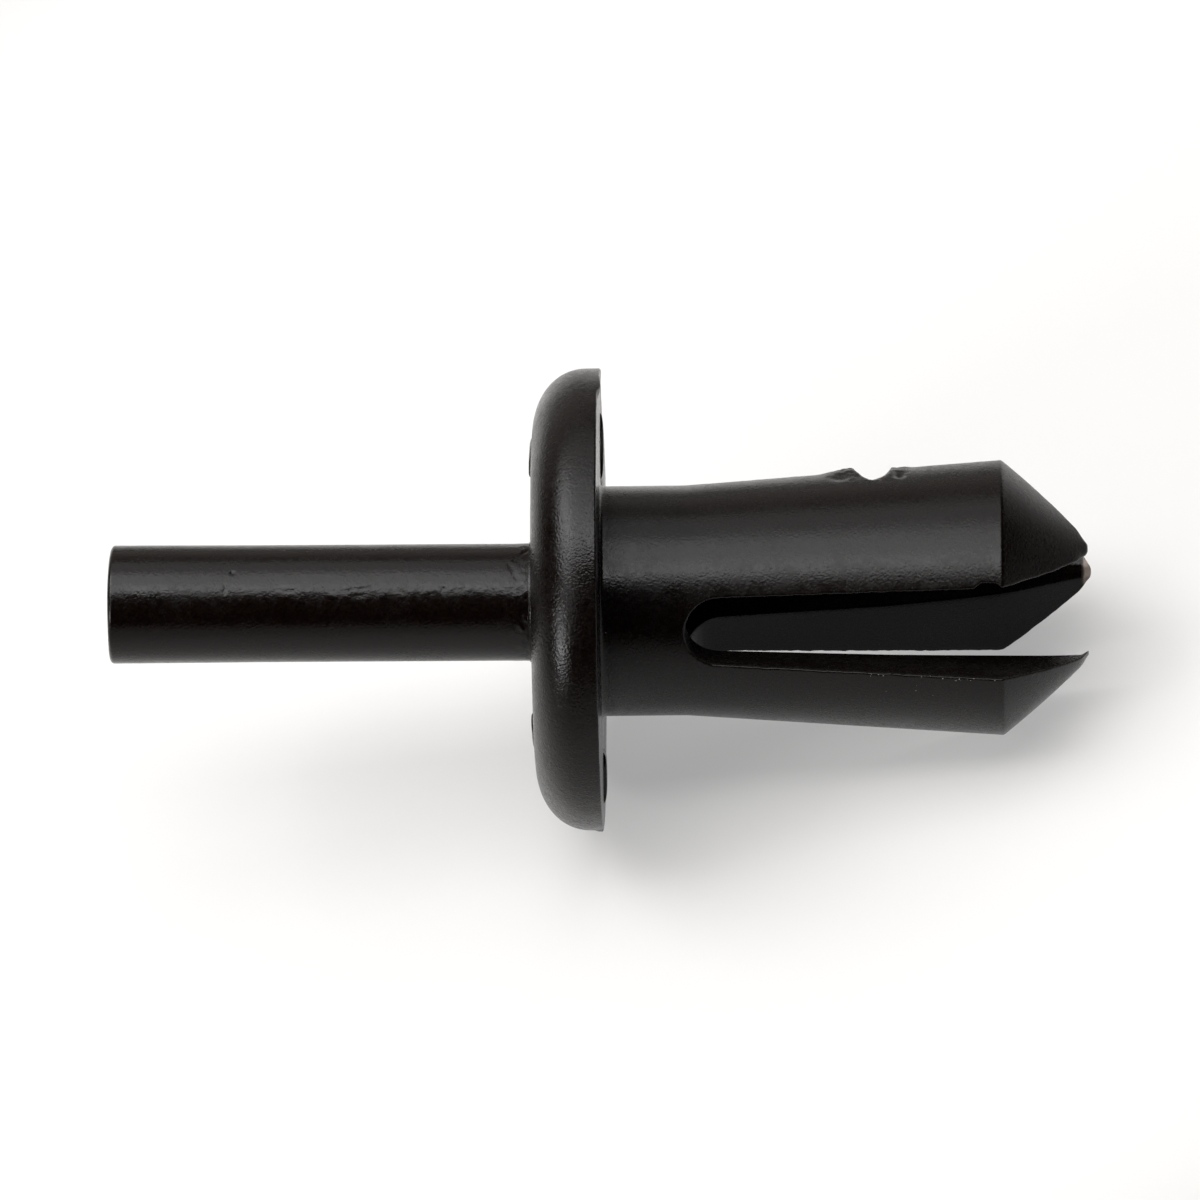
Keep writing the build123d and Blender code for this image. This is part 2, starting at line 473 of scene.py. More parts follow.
def cut_gate(points):
    """A torn cut across the uppermost leg's edge, with a burr pushed up on each side of it."""
    s, r, phi = polar(points)
    height = distance_out(points, GATE_ANGLE)
    near = (np.abs(s - GATE_DISTANCE) < GATE_REACH) & (height > GATE_INNERMOST) & (np.abs(phi) < HALF_PITCH)
    here = points[near]
    surface = outer_radius(s[near])
    edge = np.arcsin(slot_half_width(s[near]) / surface) - HALF_PITCH
    ds = s[near] - GATE_DISTANCE
    dc = (phi[near] - edge) * surface  # round the leg, from the slot's edge
    rough = uneven(here, GATE_ROUGHNESS, GATE_SEED)
    burrs = sum(size * plateau(ds, *along) * hump(dc, *across) for size, along, across in GATE_BURRS)
    pits = sum(size * hump(ds, *along) * hump(dc, *across) for size, along, across in GATE_PITS)
    torn = plateau(ds, *TORN_ALONG) * hump(dc, *TORN_ROUND)
    skin = np.clip(1 - (surface - r[near]) / SKIN_DEPTH, 0, 1)
    raised = height[near] + (burrs - pits + rough * torn * TORN_SKIN) * skin
    floor = GATE_FLOOR + GATE_RISE * np.abs(ds) ** GATE_POWER
    floor += rough - GATE_HOLLOW_DEPTH * hump(ds, *GATE_HOLLOW)
    change = np.minimum(raised, np.maximum(floor, GATE_LOWEST)) - height[near]
    points = points.copy()
    points[near] = moved_out(here, -HALF_PITCH, change / math.cos(GATE_ANGLE + HALF_PITCH))
    return points


SET_START = 9.0  # the legs are straight up to here
TIP_SET_START = 11.2
TIP_WEAR_START = 12.3
TIP_GROWTH = 0.02  # how much longer the upper and lower tips are
LEAST_ANGLE = 0.02  # half the angle that a leg fills, at the least
TOP_SET = 0.05
TOP_TWIST = 0.08  # more at the edge that has the gate's scar
TOP_WEAR = 0.07
LOWER_SET = 0.03
LOWER_CURL = 0.09
LOWER_CURL_START = 12.42
REAR_SET = 0.015
REAR_SET_END = 10.4
REAR_CURL = 0.15
REAR_CURL_RUN = (10.3, 12.7)
REAR_GROWTH = 0.11
REAR_GROWTH_START = 11.0
REAR_WEAR = 0.05


def set_legs(points):
    """The slight set of each leg near its tip, and the rubbed-down and uneven ends of the tips.

    The legs are set towards the gate's side, because the slots are not quite alike.
    """
    s, r, phi = polar(points)
    points = points.copy()
    for leg in (TOP_LEG, LOWER_LEG, REAR_LEG):
        off = angle_from(phi, leg)
        own = (np.abs(off) < HALF_PITCH) & (s > SET_START)
        late = s[own]
        edge = HALF_PITCH - np.arcsin(np.minimum(slot_half_width(late) / r[own], 1))
        turn = np.clip(off[own] / np.maximum(edge, LEAST_ANGLE), -1, 1)  # -1 and 1 at the leg's two edges
        tip = np.clip((late - TIP_SET_START) / (TIP_DISTANCE - TIP_SET_START), 0, 1) ** 2
        end = ramp(late, TIP_WEAR_START, TIP_DISTANCE)
        if leg == TOP_LEG:
            rise = tip * (TOP_SET + TOP_TWIST * (1 - turn) / 2)
            longer = TIP_GROWTH * tip - TOP_WEAR * np.abs(turn) ** 3 * end
        elif leg == LOWER_LEG:
            rise = LOWER_SET * tip + LOWER_CURL * ramp(late, LOWER_CURL_START, TIP_DISTANCE)
            longer = TIP_GROWTH * tip
        else:
            rise = REAR_SET * ramp(late, SET_START, REAR_SET_END) + REAR_CURL * ramp(late, *REAR_CURL_RUN)
            longer = REAR_GROWTH * ramp(late, REAR_GROWTH_START, TIP_DISTANCE) - REAR_WEAR * turn**2 * end
        points[own, 0] += longer
        points[own] = moved_out(points[own], GATE_ANGLE, rise)
    return points


HEAD_OFFSET = 0.052  # the head is moulded this much off the shank's axis
OFFSET_RADII = (3.05, 3.5)  # it grows from the first radius to the second
OFFSET_DISTANCES = (0.1, 0.2)
NUB_HEIGHT = 0.04
NUB_ANGLE = math.radians(132.5)
NUB_WIDTH = 0.022  # radians
NUB_RADII = (5.6, 5.9)
NUB_DISTANCES = (-0.25, -0.1)
FLASH_HEIGHT = 0.04
FLASH_START, FLASH_END = math.radians(-66), math.radians(-21.5)
FLASH_ANGLES = (FLASH_START, FLASH_START + 0.25, FLASH_END - 0.03, FLASH_END)
FLASH_BULGE = 0.05  # how much higher the flash is towards its end
FLASH_BULGE_ANGLES = (-0.62, -0.42)
FLASH_RADII = (5.72, 5.86)
FLASH_DISTANCES = (-0.16, -0.02)
RIM_WEAR = 0.008
RIM_WEAR_SIZE = 0.3
RIM_WEAR_LEAST = -0.3  # bumps are cut off here, so that the edge is worn more than raised
RIM_WEAR_START, RIM_WEAR_FULL, RIM_WEAR_END = -0.35, -0.05, 0.01
RIM_WEAR_RADIUS = 5.8
RIM_WEAR_SEED = 21


def set_head(points):
    """The head's slight offset, a nub and a stretch of flash on its rim, and the rim's uneven edge."""
    s, r, phi = polar(points)
    nub = NUB_HEIGHT * hump(phi, NUB_ANGLE, NUB_WIDTH) * ramp(r, *NUB_RADII) * ramp(s, *NUB_DISTANCES)
    flash = (FLASH_HEIGHT + FLASH_BULGE * ramp(phi, *FLASH_BULGE_ANGLES)) * plateau(phi, *FLASH_ANGLES)
    flash *= ramp(r, *FLASH_RADII) * ramp(s, *FLASH_DISTANCES)
    edge = (r > RIM_WEAR_RADIUS) & (s > RIM_WEAR_START) & (s < RIM_WEAR_END)
    bumps = np.clip(perlin(points[edge], RIM_WEAR_SIZE, RIM_WEAR_SEED), RIM_WEAR_LEAST, 1)
    wear = np.zeros_like(s)
    wear[edge] = RIM_WEAR * bumps * ramp(s[edge], RIM_WEAR_START, RIM_WEAR_FULL)
    growth = 1 + (nub - wear) / r
    points = np.stack([s + flash - wear, points[:, 1] * growth, points[:, 2] * growth], -1)
    on_head = ramp(r, *OFFSET_RADII) * (1 - ramp(s, *OFFSET_DISTANCES))
    return moved_out(points, GATE_ANGLE, HEAD_OFFSET * on_head)


def shape_body(points):
    """Everything about the moulding that isn't turned or cut straight."""
    return set_head(set_legs(cut_gate(points)))


# painted light: the end of the rear tip, and a little of the lower tip, are painted paler for the light at
# their thin ends
PAINTED_LIGHT_TIP_START = (12.40, 12.48)
PAINTED_LIGHT_TIP_ANGLE = 0.2  # radians to each side of the leg's middle
LOWER_TIP_PAINTED_LIGHT = 0.15  # as a share of the rear leg's
GATE_PALENESS = 0.2
GATE_PALE_DEPTH = 0.07
GATE_PALE_RUN = (0.15, 0.85)  # beyond the middle of the cut


def pale_and_painted_light_parts(points):
    """How pale the colour is at each point: paler in the gate's torn cut, and painted light at the thin ends
    of the rear and lower tips.
    """
    s, _, phi = polar(points)
    rear, lower = (np.abs(angle_from(phi, leg)) < PAINTED_LIGHT_TIP_ANGLE for leg in (REAR_LEG, LOWER_LEG))
    # painted light at the tips' thin ends
    tips = ramp(s, *PAINTED_LIGHT_TIP_START) * (rear + LOWER_TIP_PAINTED_LIGHT * lower)
    floor = GATE_FLOOR + GATE_RISE * np.abs(s - GATE_DISTANCE) ** GATE_POWER
    gate = GATE_PALENESS * hump(distance_out(points, GATE_ANGLE), floor, GATE_PALE_DEPTH)
    first, last = (GATE_DISTANCE + run for run in GATE_PALE_RUN)
    gate *= (s > first) & (s < last) & (np.abs(phi) < HALF_PITCH)
    return np.clip(tips + gate, 0, 1)


def make_body(material):
    """The moulding: rings for the head, and six sectors for the shank, one for each side of a slot."""
    blocks, faces, starts, count = [], [], [], 0
    for slot, angle in enumerate(SLOT_ANGLES):
        for side in (1, -1):
            grid = turned(slot_side(slot * 2 + (side > 0)), angle, side)
            faces += grid_faces(*grid.shape[:2], count, flip=side < 0)
            blocks.append(grid.reshape(-1, 3))
            starts.append(count)
            count += len(blocks[-1])
    # each leg's tip is closed by one face, from the first rows of the two slot sides that it has
    for leg in range(len(SLOT_ANGLES)):
        ahead = starts[2 * leg + 1] + np.arange(SLOT_COLUMNS)  # the slot 60 degrees on, its near side
        behind = starts[2 * leg - 2] + np.arange(SLOT_COLUMNS)
        faces.append(list(ahead) + list(behind[::-1]))
    rings = lathe(head_profile(), full_turn(2 * len(SLOT_ANGLES) * RING_STEPS))
    faces += grid_faces(*rings.shape[:2], count, flip=True)
    blocks.append(rings.reshape(-1, 3))
    points = np.concatenate(blocks)
    # the moulding's pale colour: torn plastic in the gate's cut, and painted light at the tips
    return mesh_object("rivet_moulding", shape_body(points), faces, material, pale_and_painted_light_parts(points))


# ---------------------------------------------------------------- pin
PIN_SEGMENTS = 288
PIN_ROWS = 299
PIN_END_STEPS = 11
PIN_ROUND_STEPS = 7
PIN_INNER_END_STEPS = 5
PIN_LEAD_IN_ROWS = (0.33, 0.66, 1.0)  # shares of the way down the chamfer
PIN_LEAN = 0.0047  # radians, outer end towards the gate's side
PIN_PIVOT = -2.2
PIN_TRIM = 0.04  # how much shorter it is than the solid
PIN_END_ROUND = 0.12
PIN_END_CROWN = 0.012
PIN_DRAFT = 0.014  # how much larger its radius is at its outer end
PIN_DRAFT_LENGTH = 4.5
PIN_SLANT = 0.065  # how far the outer end is cut back on the gate's side
PIN_SLANT_LENGTH = 0.6
PIN_SKIN = (PIN_RADIUS - 0.06, PIN_RADIUS - 0.01)  # radii where its unevenness fades in
PIN_BUMPS_START = PIN_RADIUS - 0.02
# scuffs and pits from (s, degrees round the pin) to (s, degrees), with their width and depth in mm
PIN_MARKS = [
    (-9.54, 11.6, -9.52, 11.6, 0.05, 0.028),
    (-9.70, 25.5, -9.74, 32.8, 0.04, 0.010),
    (-8.27, 31.0, -7.88, 31.0, 0.06, 0.004),
    (-7.05, 68.0, -6.71, 39.5, 0.04, -0.008),
    (-6.58, 32.1, -5.90, 27.6, 0.05, 0.006),
    (-7.02, 35.0, -6.88, 36.0, 0.08, -0.007),
    (-6.50, 36.0, -6.20, 36.5, 0.06, 0.006),
    (-5.40, 31.0, -5.10, 33.0, 0.05, 0.004),
    (-4.07, 29.7, -4.05, 29.7, 0.05, 0.014),
    (-3.60, 27.0, -3.52, 36.0, 0.05, -0.008),
    (-2.24, -2.0, -1.83, -20.0, 0.05, 0.022),
    (-2.35, 4.0, -2.15, 20.0, 0.06, 0.014),
    (-2.12, 66.0, -2.04, 71.0, 0.05, -0.030),
    (-1.98, 58.0, -1.90, 62.0, 0.04, -0.026),
]
PIN_SCUFF = (33, 11)  # middle and reach of the scuffed strip, in degrees round the pin
PIN_SCUFF_START = (-9.0, -6.8)
PIN_SCUFF_FADE = (-5.5, -2.4)
PIN_SCUFF_LOSS = 0.5
PIN_TORN_START = (-2.55, -2.05)
# the skin's bumps, as (their size, their height where scuffed, where torn, and all over)
PIN_BUMPS = [(0.16, 0.0045, 0.008, 0.0008), (0.45, 0.008, 0.010, 0.0012)]
PIN_SEED = 8
TINY = 1e-9  # keeps a mark without any length from dividing by nothing


def pin_relief(points):
    """Height of the scuffs, pits and torn skin on the pin's side."""
    s, r, phi = polar(points)
    round_pin = np.degrees(phi)
    relief = np.zeros(len(points))
    arc = math.radians(PIN_RADIUS)  # mm round the pin for each degree
    for s0, a0, s1, a1, width, depth in PIN_MARKS:
        run, turn = s1 - s0, (a1 - a0) * arc
        ds, dc = s - s0, (round_pin - a0) * arc
        t = np.clip((ds * run + dc * turn) / (run**2 + turn**2 + TINY), 0, 1)
        apart = np.hypot(ds - t * run, dc - t * turn)
        relief -= depth * np.exp(-((apart / width) ** 2))
    outside = r > PIN_BUMPS_START
    s, round_pin, here = s[outside], round_pin[outside], points[outside]
    scuffed = hump(round_pin, *PIN_SCUFF) * ramp(s, *PIN_SCUFF_START)
    scuffed *= 1 - PIN_SCUFF_LOSS * ramp(s, *PIN_SCUFF_FADE)
    torn = ramp(s, *PIN_TORN_START)
    for i, (size, scuffed_height, torn_height, height) in enumerate(PIN_BUMPS):
        bumps = perlin(here, size, PIN_SEED + i)
        relief[outside] += (scuffed_height * scuffed + torn_height * torn + height) * bumps
    return relief


def make_pin(material):
    """The pin, turned from its profile, then scuffed and cut not quite square at its outer end."""
    inner_end = -face_height(GUIDE_RADIUS) + PIN_START_DEPTH
    outer_end = inner_end - PIN_LENGTH + PIN_TRIM
    side_start = outer_end + PIN_END_CROWN + PIN_END_ROUND
    profile = [(outer_end, 0.0)]
    for r in after(0, PIN_RADIUS - PIN_END_ROUND, PIN_END_STEPS):
        profile.append((outer_end + PIN_END_CROWN * (r / PIN_RADIUS) ** 2, r))
    for angle in np.radians(after(0, 90, PIN_ROUND_STEPS)):
        r = PIN_RADIUS - PIN_END_ROUND * (1 - math.sin(angle))
        profile.append((side_start - PIN_END_ROUND * math.cos(angle), r))
    profile += [(s, PIN_RADIUS) for s in after(side_start, inner_end - PIN_LEAD_IN, PIN_ROWS)]
    for share in PIN_LEAD_IN_ROWS:
        profile.append((inner_end - PIN_LEAD_IN * (1 - share), PIN_RADIUS - PIN_LEAD_IN * share))
    profile += [(inner_end, r) for r in after(PIN_RADIUS - PIN_LEAD_IN, 0, PIN_INNER_END_STEPS)]
    grid = lathe(np.array(profile), full_turn(PIN_SEGMENTS))
    points = grid.reshape(-1, 3)
    s, r, _ = polar(points)
    draft = PIN_DRAFT * (1 - ramp(s, outer_end, outer_end + PIN_DRAFT_LENGTH))
    growth = 1 + (pin_relief(points) + draft) * ramp(r, *PIN_SKIN) / PIN_RADIUS
    points[:, 1:] *= growth[:, None]
    raised = np.maximum(distance_out(points, GATE_ANGLE) / PIN_RADIUS, 0)
    points[:, 0] += PIN_SLANT * raised**2 * (1 - ramp(s, outer_end, outer_end + PIN_SLANT_LENGTH))
    points = moved_out(points, GATE_ANGLE, (PIN_PIVOT - points[:, 0]) * PIN_LEAN)
    return mesh_object("pin_moulding", points, grid_faces(*grid.shape[:2], 0, flip=False), material)


# ---------------------------------------------------------------- torn web
COLLAR_STEPS = 360
COLLAR_ROUND_STEPS = 13
COLLAR_INNER = 1.55
COLLAR_LIP = 0.01
COLLAR_LIP_ROWS = (0.5, 1.0)
COLLAR_LIP_FALL = 0.05  # of its height
COLLAR_SINK = 0.03  # of its foot, under the head's face
COLLAR_HEIGHT = 0.10
COLLAR_MEAN = 0.7  # of that height
COLLAR_EXTREMES = (0.2, 1.5)
COLLAR_TEARS = [(0.5, 1.1), (0.3, 0.35), (0.12, 0.13)]  # height and size of the bumps
COLLAR_SPREAD = 0.13  # how far the web's foot spreads over the head's face
COLLAR_SPREAD_MEAN = 0.8
COLLAR_SPREAD_CHANGES = [(0.3, 0.9)]
COLLAR_NOISE_RADIUS = 2.0
COLLAR_SEED = 11
COLLAR_SPREAD_SEED = 14


def make_collar(material):
    """What is left of the thin web that joined the pin to the head: a torn collar round the pin."""
    turns = full_turn(COLLAR_STEPS)
    circle = cylindrical(0, COLLAR_NOISE_RADIUS, turns)
    torn = COLLAR_MEAN + uneven(circle, COLLAR_TEARS, COLLAR_SEED)
    height = COLLAR_HEIGHT * np.clip(torn, *COLLAR_EXTREMES)
    changes = uneven(circle, COLLAR_SPREAD_CHANGES, COLLAR_SPREAD_SEED)
    spread = COLLAR_SPREAD * (COLLAR_SPREAD_MEAN + changes)
    face = -face_height(COLLAR_INNER)
    foot = face + COLLAR_SINK
    rows = []
    for angle in np.linspace(0, math.pi / 2, COLLAR_ROUND_STEPS + 1):
        s = foot - (height + COLLAR_SINK) * (1 - math.cos(angle))
        rows.append((s, COLLAR_INNER + COLLAR_LIP + spread * (1 - math.sin(angle))))
    for share in COLLAR_LIP_ROWS:
        rows.append((face - height * (1 - COLLAR_LIP_FALL * share), COLLAR_INNER + COLLAR_LIP * (1 - share)))
    rows += [(foot, COLLAR_INNER), rows[0]]
    grid = np.array([cylindrical(s, r, turns) for s, r in rows])
    faces = grid_faces(*grid.shape[:2], 0, flip=True)
    return mesh_object("torn_web", grid.reshape(-1, 3), faces, material)


# ---------------------------------------------------------------- crumbs of flash, painted pale as glints
CRUMB_SIZE = 0.024
CRUMB_STRETCH = (0.6, 1.5)
CRUMB_DENTS = (0.75, 1.25)
# the crumbs' pale colour is partly a painted glint along the edge
CRUMB_PALE_AND_PAINTED_GLINT = 0.4
CRUMB_SEED = 8
NECK_CRUMB = (0.17, NECK_RADIUS, math.radians(59.4), 0.9)  # s, r, phi and size
EDGE_CRUMBS = [(6.1, 8.9, 7), (8.9, 10.5, 9)]  # from, to and how many
EDGE_CRUMB_ANGLES = (0.002, 0.03)  # radians from the leg's edge
EDGE_CRUMB_SIZES = (0.4, 1.1)
FACE_CRUMBS = ((6.5, 0.05), (10.2, 0.25), (4, 2))  # least and most (s, angle), and four such pairs
FACE_CRUMB_SIZES = (0.4, 0.7)


def on_lower_leg(s, turn, size):
    """A crumb's s, r, phi and size, at an angle from the lower leg's edge beside the front slot."""
    radius = outer_radius(s)
    return s, radius, HALF_PITCH + math.asin(slot_half_width(s) / radius) + turn, size


def make_crumbs(material):
    """Tiny crumbs of flash that cling to the lower leg's edge and the neck, painted pale so that they also
    show as glints.
    """
    rng = np.random.default_rng(CRUMB_SEED)
    crumbs = [NECK_CRUMB]
    for s in np.concatenate([rng.uniform(*stretch) for stretch in EDGE_CRUMBS]):
        crumbs.append(on_lower_leg(s, rng.uniform(*EDGE_CRUMB_ANGLES), rng.uniform(*EDGE_CRUMB_SIZES)))
    for s, turn in rng.uniform(*FACE_CRUMBS):
        crumbs.append(on_lower_leg(s, turn, rng.uniform(*FACE_CRUMB_SIZES)))
    blocks, faces, count = [], [], 0
    for *place, size in crumbs:
        ball = bmesh.new()
        bmesh.ops.create_icosphere(ball, subdivisions=1, radius=CRUMB_SIZE * size)
        stretch = rng.uniform(*CRUMB_STRETCH, 3) * rng.uniform(*CRUMB_DENTS, (len(ball.verts), 1))
        blocks.append(np.array([v.co for v in ball.verts]) * stretch + cylindrical(*place))
        faces += [[count + v.index for v in f.verts] for f in ball.faces]
        count += len(ball.verts)
        ball.free()
    points = np.concatenate(blocks)
    # crumbs of flash, whose paleness is partly painted glints
    return mesh_object("flash_crumbs", points, faces, material, np.full(len(points), CRUMB_PALE_AND_PAINTED_GLINT))


# ---------------------------------------------------------------- raised marks
# as (inner radius, outer radius, first and last degrees round the rivet)
OUTER_FACE_MARKS = [(3.62, 4.22, -77, -16), (3.30, 3.86, 104, 163)]
BEARING_FACE_MARKS = [(3.20, 4.96, -92, -57), (4.02, 5.34, 139, 150)]
OUTER_MARK_HEIGHT = 0.06
BEARING_MARK_HEIGHT = 0.085
MARK_COLUMNS = 60
MARK_SINK = 0.03
# half of a mark's section, as (place from -1 at its edge to 0 at its middle, share of its height)
MARK_SECTION = [(-1, 0.05), (-0.95, 0.4), (-0.85, 0.68), (-0.7, 0.86), (-0.45, 0.96), (0, 1.0)]
MARK_END_ROUND = 0.1  # rounding of a mark's ends as seen from above
MARK_END_WIDTH = 0.04  # what the rounding leaves of the width at the very ends, squared
MARK_END_SLOPE = 0.08  # run of the slope at a mark's ends
MARK_END_HEIGHT = 0.1  # what the slope leaves of the height


def raised_arc(mark, mark_height, floor_height, outwards):
    """Grid (points round its section, points along it, 3) of a raised arc with rounded edges and ends."""
    inner, outer, first, last = mark
    middle, half = (inner + outer) / 2, (outer - inner) / 2
    ends = np.sin(np.linspace(-math.pi / 2, math.pi / 2, MARK_COLUMNS))  # close together near -1 and 1
    turns = np.radians((first + last) / 2 + ends * (last - first) / 2)
    from_end = (1 - np.abs(ends)) * math.radians(last - first) / 2 * middle
    narrow = np.sqrt(np.clip(from_end / MARK_END_ROUND, MARK_END_WIDTH, 1))
    slope = np.clip(from_end / MARK_END_SLOPE, MARK_END_HEIGHT, 1)
    section = [(x, mark_height * slope * share) for x, share in MARK_SECTION]
    section += [(-x, level) for x, level in section[-2::-1]]
    section = [(-1, -MARK_SINK), *section, (1, -MARK_SINK), (-1, -MARK_SINK)]
    rows = []
    for x, level in section:
        r = middle + half * x * narrow
        rows.append(cylindrical(outwards * (floor_height(r) + level), r, turns))
    return np.array(rows)


def make_marks(material):
    """Plain raised arcs on both faces of the head."""
    blocks, faces, count = [], [], 0
    groups = [
        (OUTER_FACE_MARKS, OUTER_MARK_HEIGHT, face_height, -1),
        (BEARING_FACE_MARKS, BEARING_MARK_HEIGHT, np.zeros_like, 1),
    ]
    for marks, mark_height, floor_height, outwards in groups:
        for mark in marks:
            grid = raised_arc(mark, mark_height, floor_height, outwards)
            rows, columns = grid.shape[:2]
            faces += grid_faces(rows, columns, count, flip=outwards > 0)
            for column in (0, columns - 1):
                end = [count + row * columns + column for row in range(rows - 1)]
                faces.append(end[::-1] if (column == 0) == (outwards > 0) else end)
            blocks.append(grid.reshape(-1, 3))
            count += rows * columns
    points = moved_out(np.concatenate(blocks), GATE_ANGLE, HEAD_OFFSET)
    return mesh_object("raised_marks", points, faces, material)


# ---------------------------------------------------------------- materials
# noises, as (bumps per metre, detail)
MOTTLE = (6500, 2.0)
GRAIN = (16000, 1.0)
CLOUDS = (900, 2.0)
GRAIN_RANGE = (0.3, 0.7)  # values of the mottle and the grain that count as their least and most
CLOUD_RANGE = (0.35, 0.65)
MOTTLE_GLOSS = 0.05  # how much the roughness changes both ways
CLOUD_GLOSS = 0.035
DARK_SHARE, PALE_SHARE = 0.3, 2.6  # of the base colour, in the grain
MOTTLE_RELIEF, GRAIN_RELIEF = 0.35, 0.9
HEAD_RELIEF = 2.0  # how much deeper the head's grain is than the shank's
HEAD_RELIEF_RUN = (-0.3 * MM, 0.1 * MM)
# pale colour for torn plastic in the gate's cut, for painted light at the tips, and for crumbs whose paleness
# is partly a painted glint
PALE_AND_PAINTED_LIGHT_COLOUR = (0.28, 0.23, 0.20, 1)


def new_node(tree, kind, inputs, **settings):
    """A new node with its settings, and its inputs set to values or joined to other nodes' outputs."""
    node = tree.nodes.new(kind)
    for name, value in settings.items():
        setattr(node, name, value)
    for name, value in inputs.items():
        if isinstance(value, bpy.types.NodeSocket):
            tree.links.new(value, node.inputs[name])
        else:
            node.inputs[name].default_value = value
    return node


def noise_field(tree, place, scale, detail):
    """Output of a noise from about 0.3 to 0.7 at a place."""
    inputs = {"Vector": place, "Scale": scale, "Detail": detail}
    return new_node(tree, "ShaderNodeTexNoise", inputs).outputs["Fac"]


def mapped(tree, value, values, results, **settings):
    """Output that runs from one result to the other while a value runs from one of its own to another."""
    ends = {"From Min": values[0], "From Max": values[1], "To Min": results[0], "To Max": results[1]}
    return new_node(tree, "ShaderNodeMapRange", {"Value": value, **ends}, **settings).outputs["Result"]


def combined(tree, operation, first, second):
    """Output of a node that takes two outputs or numbers together."""
    return new_node(tree, "ShaderNodeMath", {0: first, 1: second}, operation=operation).outputs["Value"]


def measured(tree, operation, place, vector):
    """Output of a node that measures a place against a fixed vector."""
    return new_node(tree, "ShaderNodeVectorMath", {0: place, 1: vector}, operation=operation).outputs["Value"]


def satin_plastic(name, base, specular, roughness, grain_depth):
    """Near-black moulded nylon: a satin skin with a fine grain, deeper on the head than on the shank."""
    material = bpy.data.materials.new(name)
    material.use_nodes = True
    tree = material.node_tree
    place = new_node(tree, "ShaderNodeTexCoord", {}).outputs["Object"]
    mottle, grain, clouds = (noise_field(tree, place, *field) for field in (MOTTLE, GRAIN, CLOUDS))
    mottled = mapped(tree, mottle, GRAIN_RANGE, (-MOTTLE_GLOSS, MOTTLE_GLOSS))
    clouded = mapped(tree, clouds, CLOUD_RANGE, (-CLOUD_GLOSS, CLOUD_GLOSS))
    gloss = combined(tree, "ADD", combined(tree, "ADD", mottled, clouded), roughness)

    colours = {}
    for end, share in (("A", DARK_SHARE), ("B", PALE_SHARE)):
        colours[end] = (*[c * share for c in base], 1)
    colours["Factor"] = mapped(tree, grain, GRAIN_RANGE, (0.0, 1.0))
    tint = new_node(tree, "ShaderNodeMix", colours, data_type="RGBA").outputs["Result"]
    # mixed towards the pale colour where the mesh asks for it: torn plastic, painted light at the tips,
    # painted glints on the crumbs
    pale_and_painted_light = new_node(tree, "ShaderNodeAttribute", {}, attribute_name="pale_and_painted_light").outputs["Fac"]
    colours = {"A": tint, "B": PALE_AND_PAINTED_LIGHT_COLOUR, "Factor": pale_and_painted_light}
    colour = new_node(tree, "ShaderNodeMix", colours, data_type="RGBA").outputs["Result"]

    along = measured(tree, "DOT_PRODUCT", place, AXIS)
    depth = mapped(tree, along, HEAD_RELIEF_RUN, (HEAD_RELIEF, 1.0))
    mottle_relief = combined(tree, "MULTIPLY", mottle, MOTTLE_RELIEF)
    grain_relief = combined(tree, "MULTIPLY", grain, GRAIN_RELIEF)
    relief = combined(tree, "MULTIPLY", combined(tree, "ADD", mottle_relief, grain_relief), depth)
    bump = new_node(tree, "ShaderNodeBump", {"Height": relief, "Distance": grain_depth * MM, "Strength": 1.0})

    shader = tree.nodes["Principled BSDF"]
    shader.inputs["Specular IOR Level"].default_value = specular
    tree.links.new(gloss, shader.inputs["Roughness"])
    tree.links.new(colour, shader.inputs["Base Color"])
    tree.links.new(bump.outputs["Normal"], shader.inputs["Normal"])
    return material


# ---------------------------------------------------------------- camera
FRAME_PIXELS = 1200
PIXEL = MM / 38.5  # size of one pixel of the frame at the rivet
ABOVE_SIDE = math.radians(46.5)  # how far the view is turned up from the rivet's side
YAW = math.radians(1.2)
ROLL = math.radians(0.62)
CAMERA_DISTANCE = 0.52
FRAME_SHIFT = (-1.3, 1.25)  # pixels right and up from the bearing face's centre to the frame's middle
FILM_WIDTH = 36
CLIP_START, CLIP_END = 0.01, 5


def view_directions():
    """The camera's right, up and back directions."""
    back = SIDEWAYS * math.cos(ABOVE_SIDE) + UPWARD * math.sin(ABOVE_SIDE)
    up = UPWARD * math.cos(ABOVE_SIDE) - SIDEWAYS * math.sin(ABOVE_SIDE)
    right = AXIS * math.cos(YAW) - back * math.sin(YAW)
    back = back * math.cos(YAW) + AXIS * math.sin(YAW)
    return (
        right * math.cos(ROLL) - up * math.sin(ROLL),
        up * math.cos(ROLL) + right * math.sin(ROLL),
        back,
    )


VIEW_RIGHT, VIEW_UP, VIEW_BACK = view_directions()


def aim(thing, right, up, back, place):
    """Puts an object at a place, turned to the given directions."""
    matrix = Matrix((right, up, back)).transposed().to_4x4()
    matrix.translation = place
    thing.matrix_world = matrix


def make_camera():
    """The camera at the photo's angle."""
    data = bpy.data.cameras.new("camera")
    data.sensor_width = FILM_WIDTH
    data.lens = FILM_WIDTH * CAMERA_DISTANCE / (FRAME_PIXELS * PIXEL)
    data.clip_start = CLIP_START
    data.clip_end = CLIP_END
    camera = new_object("camera", data)
    target = VIEW_RIGHT * FRAME_SHIFT[0] * PIXEL + VIEW_UP * FRAME_SHIFT[1] * PIXEL
    aim(camera, VIEW_RIGHT, VIEW_UP, VIEW_BACK, target + VIEW_BACK * CAMERA_DISTANCE)
    bpy.context.scene.camera = camera


# ---------------------------------------------------------------- light and floor
LIGHT_DISTANCE = 0.6
